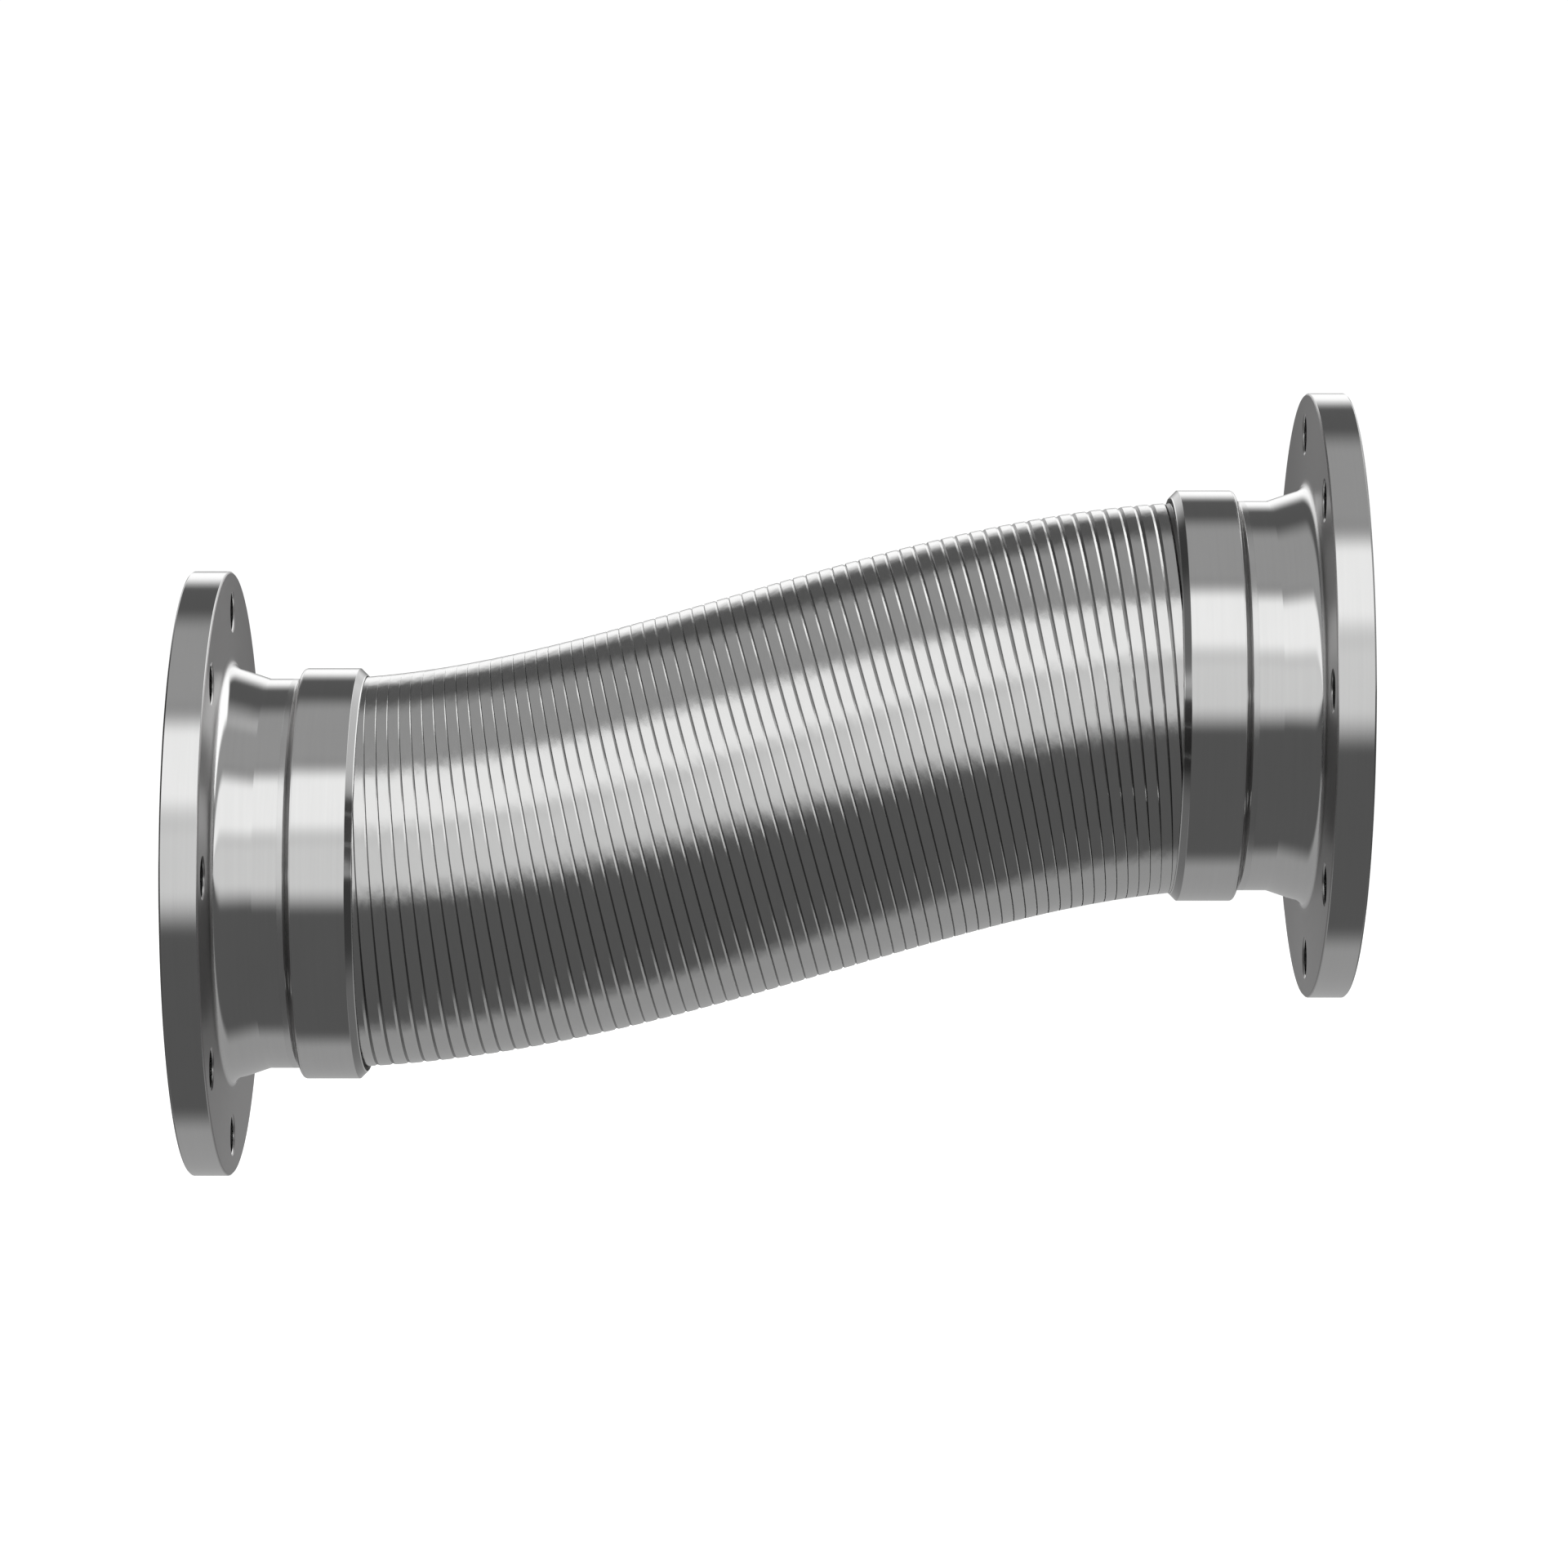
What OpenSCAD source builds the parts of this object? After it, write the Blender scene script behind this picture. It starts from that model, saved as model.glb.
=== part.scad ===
// Flanged metal hose: a helically wound steel strip, bent to a gentle S,
// with a welded sleeve and a weld-neck flange at each end.
// The hose runs along +X. The left flange is the lower one, and its sealing face is the plane x = 0.

/* [Assembly] */
// Distance between the two sealing faces
face_to_face = 652; // [560:2:900]
// Height of the right flange's axis above the left one's
offset_z = 100; // [40:5:140]

/* [Flange] */
// Outer diameter of the flange
flange_d = 340; // [330:1:380]
// Thickness of the flange, with its raised face
flange_t = 24; // [18:1:32]
// Height of the raised sealing face
face_h = 3; // [1:0.5:5]
// Distance from the bolt circle to the rim
bolt_edge = 22.5; // [20:0.5:30]
// Number of bolt holes
bolt_count = 8; // [4:4:16]
// Diameter of a bolt hole
bolt_hole_d = 22; // [14:1:26]
// Least distance between a bolt hole and the raised face
face_margin = 2.5; // [1:0.5:6]
// Bevel round the rim and the bolt holes
edge_bevel = 1; // [0.5:0.1:2]

/* [Neck] */
// Distance by which the neck stands out beyond the hose
neck_over = 0.05; // [-0.5:0.05:1]
// Wall of the neck
neck_wall = 6.3; // [5:0.1:10]
// Distance by which the hub stands out beyond the neck where it leaves the flange
hub_rise = 7.45; // [5:0.05:10]
// Fillet between the flange and the hub
hub_fillet = 8; // [4:1:10]
// Distance from the sealing face to the narrow end of the hub
hub_end = 46; // [44:1:50]
// Distance from the sealing face to the end of the neck
neck_end = 62; // [60:1:80]
// Height of the unbevelled root at the neck's end
weld_root = 1.75; // [1:0.25:2.5]
// Angle of the weld bevels
weld_angle = 30; // [25:1:37]

/* [Sleeve] */
// Distance by which the sleeve stands out beyond the hose
sleeve_over = 6; // [5:0.5:9]
// Length of the sleeve
sleeve_l = 38.5; // [34:0.5:50]
// Thickness of the lip that butts against the neck
sleeve_lip = 4; // [3:0.5:5]
// Length of the bevel at the sleeve's mouth
mouth_bevel = 4; // [2:0.5:6]
// Flat land round the sleeve's mouth
mouth_land = 0.4; // [0.2:0.1:1]
// Length of the weld's slope from the neck up to the sleeve
weld_rise_l = 5.3; // [5:0.1:8]
// Rounding at the foot and the top of that slope
weld_round = 2.2; // [1:0.1:2.4]

/* [Hose] */
// Outer diameter of the hose
hose_d = 219; // [200:0.5:230]
// Wall of the hose, from its crests to its bore
hose_wall = 5.5; // [3:0.5:5.5]
// Least space between the bent hose and the sleeve's mouth
hose_play = 0.35; // [0.2:0.05:1]
// How far the hose sags at its middle under its own weight
sag = 1.8; // [0:0.1:4]
// Winding pitch of the strip, along the hose
strip_pitch = 7.38; // [7:0.02:12]
// Width of the sloping shoulder at one edge of each winding
shoulder_w = 1.3; // [0.8:0.1:1.6]
// Depth of the groove between two windings
groove_depth = 0.8; // [0.4:0.1:1.5]
// Width of the steep lip on the groove's other side
lip_w = 0.4; // [0.2:0.1:0.6]
// Thickness of the weld between the hose's end and the sleeve
hose_weld_t = 2; // [1:0.5:3]
// Direction of the winding
wind_hand = "left"; // [left, right]

/* [Hidden] */
$fn = 96;

// Flats round the hose, rows along its bore, and steps in each small arc
hose_sides = 26;
bore_rows = 24;
arc_steps = 8;
// Windings that reach into each sleeve
hidden_turns = 1.5;
// Length by which a cutter stands past the face that it cuts
past = 1;

crest_r = hose_d / 2;
groove_r = crest_r - groove_depth;
neck_r = crest_r + neck_over;
bore_r = neck_r - neck_wall;
hub_r = neck_r + hub_rise;
rim_r = flange_d / 2;
bolt_circle_r = rim_r - bolt_edge;
face_r = bolt_circle_r - bolt_hole_d / 2 - face_margin;
root_r = bore_r + weld_root;
weld_run = (neck_r - root_r) * tan(weld_angle);
sleeve_r = crest_r + sleeve_over;
sleeve_end = neck_end + sleeve_l;
socket_floor = neck_end + sleeve_lip;
hose_start = socket_floor + hose_weld_t;
span = face_to_face - 2 * hose_start;

// The hose's centre line: a beam held square at both ends, which are offset, and sagging between them.
// t is the share of the straight distance between the ends, u the share of the hose's own length.
length_gain = 0.6 * pow(offset_z / span, 2);
hose_l = span * (1 + length_gain);
function at_share(u) =
    (1 + length_gain) * u - 30 * length_gain * (pow(u, 3) / 3 - pow(u, 4) / 2 + pow(u, 5) / 5);
function height(t) = offset_z * t * t * (3 - 2 * t) - 16 * sag * pow(t * (1 - t), 2);
function slope(t) = (6 * offset_z * t * (1 - t) - 32 * sag * t * (1 - t) * (1 - 2 * t)) / span;
function bend(t) = (6 * offset_z * (1 - 2 * t) - 32 * sag * (1 - 6 * t + 6 * t * t)) / span / span
    / pow(1 + slope(t) * slope(t), 1.5);

// The socket leaves room for the hose to rise or sink by the mouth
mouth_t = (sleeve_end - hose_start) / span;
socket_r = crest_r + max(abs(height(mouth_t)), abs(offset_z - height(1 - mouth_t))) + hose_play;

// Points of an arc in a (radius, x) outline, from one angle to another
function arc(c, r, from, to) =
    [for (i = [0 : arc_steps]) let (a = from + (to - from) * i / arc_steps) c + r * [cos(a), sin(a)]];

// Fillet of the hub: its centre touches the back of the flange and the cone
hub_slope = atan2(hub_r - neck_r, hub_end - flange_t);
fillet_r = hub_r + hub_fillet * (1 - sin(hub_slope)) / cos(hub_slope);
fillet_c = [fillet_r, flange_t + hub_fillet];
fillet_foot = fillet_c - hub_fillet * [cos(hub_slope), sin(hub_slope)];

module flange_outline() {
    polygon([
        [bore_r, 0],
        [face_r, 0],
        [face_r, face_h],
        [rim_r - edge_bevel, face_h],
        [rim_r, face_h + edge_bevel],
        [rim_r, flange_t - edge_bevel],
        [rim_r - edge_bevel, flange_t],
        [hub_r, flange_t],
        [neck_r, hub_end],
        [neck_r, neck_end - weld_run],
        [root_r, neck_end],
        [bore_r, neck_end]
    ]);
    difference() {
        polygon([
            [hub_r - past, flange_t - past],
            [fillet_r, flange_t - past],
            fillet_c,
            fillet_foot,
            fillet_foot - [past, past]
        ]);
        translate(fillet_c) circle(hub_fillet);
    }
}

module bolt_hole() {
    translate([bolt_circle_r, 0, 0]) {
        cylinder(d = bolt_hole_d, h = flange_t + hub_fillet + past);
        translate([0, 0, face_h - past])
            cylinder(r1 = bolt_hole_d / 2 + edge_bevel + past, r2 = bolt_hole_d / 2, h = edge_bevel + past);
        translate([0, 0, flange_t - edge_bevel])
            cylinder(r1 = bolt_hole_d / 2, r2 = bolt_hole_d / 2 + edge_bevel + past, h = edge_bevel + past);
    }
}

module flange() {
    color("silver") difference() {
        rotate_extrude() flange_outline();
        for (i = [0 : bolt_count - 1]) rotate(i * 360 / bolt_count) bolt_hole();
    }
}

// The weld fills the V between the neck and the sleeve, and slopes up to the sleeve
module neck_weld() {
    foot = [neck_r, neck_end];
    top = [sleeve_r, neck_end + weld_rise_l];
    foot_c = foot + [weld_round, 0];
    top_c = top - [weld_round, 0];
    between = top_c - foot_c;
    // Angle of the straight stretch that touches both rounds
    lean = atan2(between[1], between[0]) - asin(2 * weld_round / norm(between));
    color("gainsboro") rotate_extrude() polygon(concat(
        [[root_r, neck_end], [neck_r, neck_end - weld_run]],
        arc(foot_c, weld_round, 180, 90 + lean),
        arc(top_c, weld_round, lean - 90, 0)
    ));
}

module sleeve() {
    color("silver") rotate_extrude() polygon([
        [bore_r, neck_end],
        [root_r, neck_end],
        [sleeve_r, neck_end + weld_rise_l],
        [sleeve_r, sleeve_end - mouth_bevel],
        [socket_r + mouth_land, sleeve_end],
        [socket_r, sleeve_end],
        [socket_r, socket_floor],
        [bore_r, socket_floor]
    ]);
}

module hose_weld() {
    color("gainsboro") translate([0, 0, socket_floor]) difference() {
        cylinder(r = crest_r, h = hose_weld_t);
        translate([0, 0, -past]) cylinder(r = crest_r - hose_wall, h = hose_weld_t + 2 * past);
    }
}

// Point at the length s along the hose, at the angle a from the top round its axis, at the radius r
function on_hose(s, a, r) =
    let (t = at_share(s / hose_l), up = [-slope(t), 0, 1] / norm([slope(t), 1]))
    [hose_start + span * t, 0, height(t)] + r * (cos(a) * up - [0, sin(a), 0]);

// How much longer the hose's surface is than its centre line, where the bend stretches it
function stretch(s, a) = 1 - bend(at_share(s / hose_l)) * crest_r * cos(a);

hidden_l = sleeve_end - hose_start;
first_groove = hidden_l - hidden_turns * strip_pitch;
groove_count = ceil((hose_l - 2 * first_groove) / strip_pitch);

// The three points of the groove, at the helix's n-th pass over side c of the hose
function groove(n, c) =
    let (a = 360 * c / hose_sides, s = first_groove + strip_pitch * (n + c / hose_sides), k = stretch(s, a))
    [on_hose(s - shoulder_w / k, a, crest_r), on_hose(s, a, groove_r), on_hose(s + lip_w / k, a, crest_r)];

// Number of points in front of side c, where side 0 has one groove more than the others
line_size = 3 * groove_count + 2;
function line_start(c) = c * line_size + (c > 0 ? 3 : 0);
bore_start = line_start(hose_sides);

hose_points = concat(
    [for (c = [0 : hose_sides - 1]) each concat(
        [on_hose(0, 360 * c / hose_sides, crest_r)],
        [for (n = [0 : groove_count - (c == 0 ? 0 : 1)]) each groove(n, c)],
        [on_hose(hose_l, 360 * c / hose_sides, crest_r)]
    )],
    [for (c = [0 : hose_sides - 1]) for (j = [0 : bore_rows])
        on_hose(hose_l * j / bore_rows, 360 * c / hose_sides, crest_r - hose_wall)]
);

// Both triangles of the cell between two rows (p, q) on one side and (v, w) on the next side
function cell(p, q, v, w) = [[p, q, w], [p, w, v]];

// The helix meets side 0 again one groove further on
function next_line(c, i) = c < hose_sides - 1 ? line_start(c + 1) + i : i + 3;
function outer_cells(c) = [for (i = [1 : 3 * groove_count - 1])
    each cell(line_start(c) + i, line_start(c) + i + 1, next_line(c, i), next_line(c, i + 1))];

function bore_at(c, j) = bore_start + (c % hose_sides) * (bore_rows + 1) + j;
function bore_cells(c) = [for (j = [0 : bore_rows - 1])
    each cell(bore_at(c + 1, j), bore_at(c + 1, j + 1), bore_at(c, j), bore_at(c, j + 1))];

// First and last crest of each side, which end at the hose's ends
last = 3 * groove_count;
function first_cells(c) =
    c < hose_sides - 1 ? cell(line_start(c), line_start(c) + 1, line_start(c + 1), line_start(c + 1) + 1)
    : let (p = line_start(c)) [[p + 1, 0, p], [p + 1, 1, 0], [p + 1, 3, 1], [p + 1, 4, 3]];
function last_cells(c) =
    let (p = line_start(c) + last, q = line_start(c + 1) + last)
    c == 0 ? [[last, last + 1, q], [last + 1, last + 3, q], [last + 3, last + 4, q], [last + 4, q + 1, q]]
    : c < hose_sides - 1 ? cell(p, p + 1, q, q + 1)
    : cell(p, p + 1, last + 3, last + 4);

// The flat ring at each end of the hose
function end_ring(c) =
    let (d = (c + 1) % hose_sides, far_c = c == 0 ? last + 4 : line_start(c) + last + 1,
         far_d = d == 0 ? last + 4 : line_start(d) + last + 1)
    concat(
        cell(bore_at(c, 0), line_start(c), bore_at(d, 0), line_start(d)),
        cell(far_c, bore_at(c, bore_rows), far_d, bore_at(d, bore_rows))
    );

module hose_strip() {
    // The caps close the two ends of the groove
    caps = [[1, 3, 2], [last + 1, last + 2, last + 3]];
    color("lightgray") mirror([0, wind_hand == "left" ? 1 : 0, 0]) polyhedron(
        points = hose_points,
        faces = concat(
            [for (c = [0 : hose_sides - 1]) each concat(
                first_cells(c), outer_cells(c), last_cells(c), bore_cells(c), end_ring(c)
            )],
            caps
        )
    );
}

// Places what is drawn along +Z at the left or the right end of the hose
module left_end() {
    rotate([0, 90, 0]) children();
}
module right_end() {
    translate([face_to_face, 0, offset_z]) rotate([0, -90, 0]) children();
}

left_end() flange();  // flange_left
left_end() neck_weld();  // neck_weld_left
left_end() sleeve();  // sleeve_left
left_end() hose_weld();  // hose_weld_left
hose_strip();
right_end() hose_weld();  // hose_weld_right
right_end() sleeve();  // sleeve_right
right_end() neck_weld();  // neck_weld_right
right_end() flange();  // flange_right
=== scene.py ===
"""Looks of a flanged metal hose: a wound steel strip, bent to a gentle S, between two turned flanges.

Lengths are in metres. A turned piece is drawn round its own Z axis and then placed at its end of the hose.
"""

import math

import bmesh
import bpy
import numpy as np
from mathutils import Matrix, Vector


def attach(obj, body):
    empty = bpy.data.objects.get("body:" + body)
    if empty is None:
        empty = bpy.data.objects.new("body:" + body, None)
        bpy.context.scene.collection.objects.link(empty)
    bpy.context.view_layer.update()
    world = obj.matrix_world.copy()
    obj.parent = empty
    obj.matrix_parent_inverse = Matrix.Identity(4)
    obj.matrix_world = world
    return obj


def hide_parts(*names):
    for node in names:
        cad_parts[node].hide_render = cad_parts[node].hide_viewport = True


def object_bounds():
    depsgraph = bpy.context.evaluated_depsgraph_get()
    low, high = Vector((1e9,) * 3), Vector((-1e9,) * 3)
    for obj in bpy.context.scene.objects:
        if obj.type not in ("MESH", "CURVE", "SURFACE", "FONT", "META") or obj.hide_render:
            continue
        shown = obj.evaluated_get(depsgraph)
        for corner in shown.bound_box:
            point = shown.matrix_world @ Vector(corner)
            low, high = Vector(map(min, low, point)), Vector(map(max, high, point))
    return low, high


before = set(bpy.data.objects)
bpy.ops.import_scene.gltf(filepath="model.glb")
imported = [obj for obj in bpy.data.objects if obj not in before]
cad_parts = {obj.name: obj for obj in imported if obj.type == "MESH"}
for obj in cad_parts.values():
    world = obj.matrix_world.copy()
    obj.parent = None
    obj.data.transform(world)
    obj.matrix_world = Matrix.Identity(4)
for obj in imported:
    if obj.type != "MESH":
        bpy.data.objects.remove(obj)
cad_box = [[float(x) for x in corner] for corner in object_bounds()]

bl_info = {
    "name": "Wound metal hose",
    "version": (1, 0, 0),
    "blender": (4, 5, 0),
    "location": "3D View > Sidebar > Metal hose",
    "description": "Draws a flanged hose of wound steel strip and the studio round it",
    "category": "Object",
}

MM = 0.001
BODY = "root"


def length_of(name, text, default):
    return bpy.props.FloatProperty(name=name, description=text, default=default, unit="LENGTH", precision=5)


class HoseSizes(bpy.types.PropertyGroup):
    """Sizes of the wound hose and of its bend."""

    face_to_face: length_of("Face to face", "Distance between the two sealing faces", 652 * MM)
    offset: length_of("Offset", "Height of the right flange's axis above the left one's", 100 * MM)
    sag: length_of("Sag", "How far the hose sags at its middle", 1.8 * MM)
    start: length_of("Start", "Distance from the sealing face to the end of the hose", 68 * MM)
    outer_r: length_of("Outer radius", "Radius over the crests of the windings", 109.5 * MM)
    wall: length_of("Wall", "From the crests to the bore", 5.5 * MM)
    pitch: length_of("Pitch", "Distance from one winding to the next", 7.38 * MM)
    first_groove: length_of("First groove", "From the hose's end to its first groove", 21.43 * MM)
    shoulder: length_of("Shoulder", "Width of the sloping shoulder of each winding", 1.3 * MM)
    depth: length_of("Groove depth", "Depth of the groove between two windings", 0.8 * MM)
    lip: length_of("Lip", "Width of the steep side of the groove", 0.4 * MM)
    crown: length_of("Crown", "How far each winding's flat falls off towards its edges", 0.05 * MM)


class FlangeSizes(bpy.types.PropertyGroup):
    """Sizes of the flanges, necks and sleeves."""

    rim_r: length_of("Rim radius", "Outer radius of the flange", 170 * MM)
    thickness: length_of("Thickness", "Thickness of the flange with its raised face", 24 * MM)
    face_r: length_of("Raised face radius", "Radius of the raised sealing face", 134 * MM)
    face_h: length_of("Raised face height", "Height of the raised sealing face", 3 * MM)
    circle_r: length_of("Bolt circle radius", "Radius of the circle of bolt holes", 147.5 * MM)
    hole_r: length_of("Hole radius", "Radius of a bolt hole", 11 * MM)
    holes: bpy.props.IntProperty(name="Bolt holes", description="Number of bolt holes", default=8)
    bevel: length_of("Bevel", "Bevel round the rim and the holes", 1 * MM)
    bore_r: length_of("Bore radius", "Radius of the bore through neck and sleeve", 103.25 * MM)
    neck_r: length_of("Neck radius", "Outer radius of the neck", 109.55 * MM)
    hub_r: length_of("Hub radius", "Radius of the hub at the flange", 117 * MM)
    hub_fillet: length_of("Hub fillet", "Fillet between flange and hub", 8 * MM)
    hub_end: length_of("Hub end", "From the sealing face to the narrow end of the hub", 46 * MM)
    neck_end: length_of("Neck end", "From the sealing face to the end of the neck", 62 * MM)
    root_r: length_of("Weld root radius", "Radius at the root of the weld", 105 * MM)
    sleeve_r: length_of("Sleeve radius", "Outer radius of the sleeve", 115.5 * MM)
    sleeve_end: length_of("Sleeve end", "From the sealing face to the sleeve's mouth", 100.5 * MM)
    socket_floor: length_of("Socket floor", "From the sealing face to the floor of the socket", 66 * MM)
    socket_r: length_of("Socket radius", "Radius of the sleeve's socket", 111.09 * MM)
    mouth_bevel: length_of("Mouth bevel", "Length of the bevel at the sleeve's mouth", 4 * MM)
    mouth_land: length_of("Mouth land", "Flat land round the sleeve's mouth", 0.4 * MM)
    weld_rise: length_of("Weld slope", "Length of the weld's slope up to the sleeve", 5.3 * MM)
    weld_round: length_of("Weld rounding", "Rounding at both ends of the weld's slope", 2.2 * MM)
    edge_round: length_of("Edge rounding", "Rounding of the sharp edges", 0.25 * MM)


class Finishes(bpy.types.PropertyGroup):
    """Colours and gloss of the steel."""

    steel: bpy.props.FloatVectorProperty(
        name="Steel",
        description="Colour of the turned steel",
        subtype="COLOR",
        size=3,
        default=(0.62, 0.62, 0.617),
    )
    strip: bpy.props.FloatVectorProperty(
        name="Strip",
        description="Colour of the wound strip",
        subtype="COLOR",
        size=3,
        default=(0.6, 0.6, 0.595),
    )
    # The backs' colour: partly a duller faced finish, partly painted shade, darker than the steel to stand in
    # for the dim light the backs reflect
    faced_and_shade: bpy.props.FloatVectorProperty(
        name="Faced",
        description="Colour of the flanges' dull backs",
        subtype="COLOR",
        size=3,
        default=(0.27, 0.265, 0.264),
    )
    turned_gloss: bpy.props.FloatProperty(
        name="Turned roughness", description="Roughness of the turned steel", subtype="FACTOR", default=0.1
    )
    faced_gloss: bpy.props.FloatProperty(
        name="Faced roughness",
        description="Roughness of the flanges' flat backs",
        subtype="FACTOR",
        default=0.36,
    )
    strip_gloss: bpy.props.FloatProperty(
        name="Strip roughness", description="Roughness of the wound strip", subtype="FACTOR", default=0.15
    )


class Studio(bpy.types.PropertyGroup):
    """Camera and light."""

    distance: length_of("Camera distance", "From the camera to the hose's axis", 2.84)
    camera_x: length_of("Camera along the hose", "Place of the camera along X", 0.3347)
    camera_z: length_of("Camera height", "Height of the camera", 0.0503)
    lens: bpy.props.FloatProperty(name="Lens", description="Focal length on a 36 mm sensor", default=115.7)
    brightness: bpy.props.FloatProperty(
        name="Brightness", description="Strength of the studio light", default=2.2
    )


# Materials

# A quarter turn of the default tangent, so that highlights spread along the hose
ACROSS = 0.25
# Turning marks follow radius + z times this, so they cross faces and outer walls alike
MARK_LEAN = 1.37
# Radii between which a flange's back goes from its fillet's finish to its own, whose darker colour is partly
# painted shade
FILLET_BLEND = (117.2 * MM, 118.5 * MM)
BACK_BLEND = (118.5 * MM, 120.5 * MM)
# How far the steel in the sleeve's mouth is dulled, from its end inwards
MOUTH_DULL = (14 * MM, 6 * MM)


class Amount:
    """A number that varies over a surface. Sums of such numbers add Math nodes."""

    def __init__(self, wiring, socket):
        self.wiring = wiring
        self.socket = socket

    def __add__(self, other):
        return self.wiring.maths("ADD", self, other)

    def __sub__(self, other):
        return self.wiring.maths("SUBTRACT", self, other)

    def __mul__(self, other):
        return self.wiring.maths("MULTIPLY", self, other)

    def __truediv__(self, other):
        return self.wiring.maths("DIVIDE", self, other)

    def __rsub__(self, other):
        return self.wiring.maths("SUBTRACT", other, self)

    __radd__ = __add__
    __rmul__ = __mul__


class Wiring:
    """Adds nodes to one node tree."""

    def __init__(self, tree):
        self.tree = tree
        tree.nodes.clear()

    def node(self, kind, settings=None, **inputs):
        """Adds a node, makes its settings and then fills its sockets, named in lower case."""
        made = self.tree.nodes.new(kind)
        for key, value in (settings or {}).items():
            setattr(made, key, value)
        for key, value in inputs.items():
            self.fill(self.socket_of(made.inputs, key), value)
        return made

    def socket_of(self, sockets, key):
        if key[-1].isdigit() and key[:-1] == "input":
            return sockets[int(key[-1])]
        return next(s for s in sockets if s.enabled and s.name.lower().replace(" ", "_") == key)

    def fill(self, socket, value):
        if isinstance(value, Amount):
            value = value.socket
        if isinstance(value, bpy.types.NodeSocket):
            self.tree.links.new(value, socket)
        else:
            socket.default_value = value

    def maths(self, operation, *values):
        made = self.tree.nodes.new("ShaderNodeMath")
        made.operation = operation
        for socket, value in zip(made.inputs, values):
            self.fill(socket, value)
        return Amount(self, made.outputs[0])

    def between(self, value, low, high):
        """0 below low, 1 above high, smooth between them."""
        made = self.node(
            "ShaderNodeMapRange", {"interpolation_type": "SMOOTHSTEP"}, value=value, from_min=low, from_max=high
        )
        return Amount(self, made.outputs["Result"])

    def noise(self, place, detail=2, roughness=0.5):
        made = self.node("ShaderNodeTexNoise", vector=place, scale=1, detail=detail, roughness=roughness)
        return Amount(self, made.outputs[0])

    def vector(self, x, y, z):
        return self.node("ShaderNodeCombineXYZ", x=x, y=y, z=z).outputs[0]

    def scaled(self, vector, scale):
        return self.node("ShaderNodeVectorMath", {"operation": "SCALE"}, vector=vector, scale=scale).outputs[0]

    def parts(self, vector):
        made = self.node("ShaderNodeSeparateXYZ", vector=vector)
        return [Amount(self, s) for s in made.outputs]

    def mix(self, share, first, second):
        """Mixes two colours."""
        made = self.node("ShaderNodeMix", {"data_type": "RGBA"})
        self.fill(made.inputs[0], share)
        self.fill(made.inputs[6], first if not isinstance(first, tuple) else (*first, 1))
        self.fill(made.inputs[7], second if not isinstance(second, tuple) else (*second, 1))
        return made.outputs[2]


def shade(colour, share):
    """The same colour, darker or lighter."""
    return tuple(c * share for c in colour)


def steel_material(name, anisotropy, draw):
    """A material of bare steel. draw gives its colour, roughness, height and the height's size in metres."""
    material = bpy.data.materials.new(name)
    material.use_nodes = True
    wiring = Wiring(material.node_tree)
    colour, roughness, height, height_scale = draw(wiring)
    bump = wiring.node("ShaderNodeBump", strength=1, distance=height_scale, height=height)
    shader = wiring.node(
        "ShaderNodeBsdfPrincipled",
        base_color=colour,
        metallic=1,
        roughness=roughness,
        anisotropic=anisotropy,
        anisotropic_rotation=ACROSS,
        normal=bump.outputs["Normal"],
    )
    wiring.node("ShaderNodeOutputMaterial", surface=shader.outputs["BSDF"])
    return material


def turned_places(w):
    """Coordinates round a turned piece: axial place, radius, and a seamless vector for turning marks."""
    place = w.node("ShaderNodeTexCoord").outputs["Object"]
    x, y, z = w.parts(place)
    radius = w.maths("SQRT", x * x + y * y)
    along = radius + z * MARK_LEAN
    return place, z, radius, x / radius, y / radius, along


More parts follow.
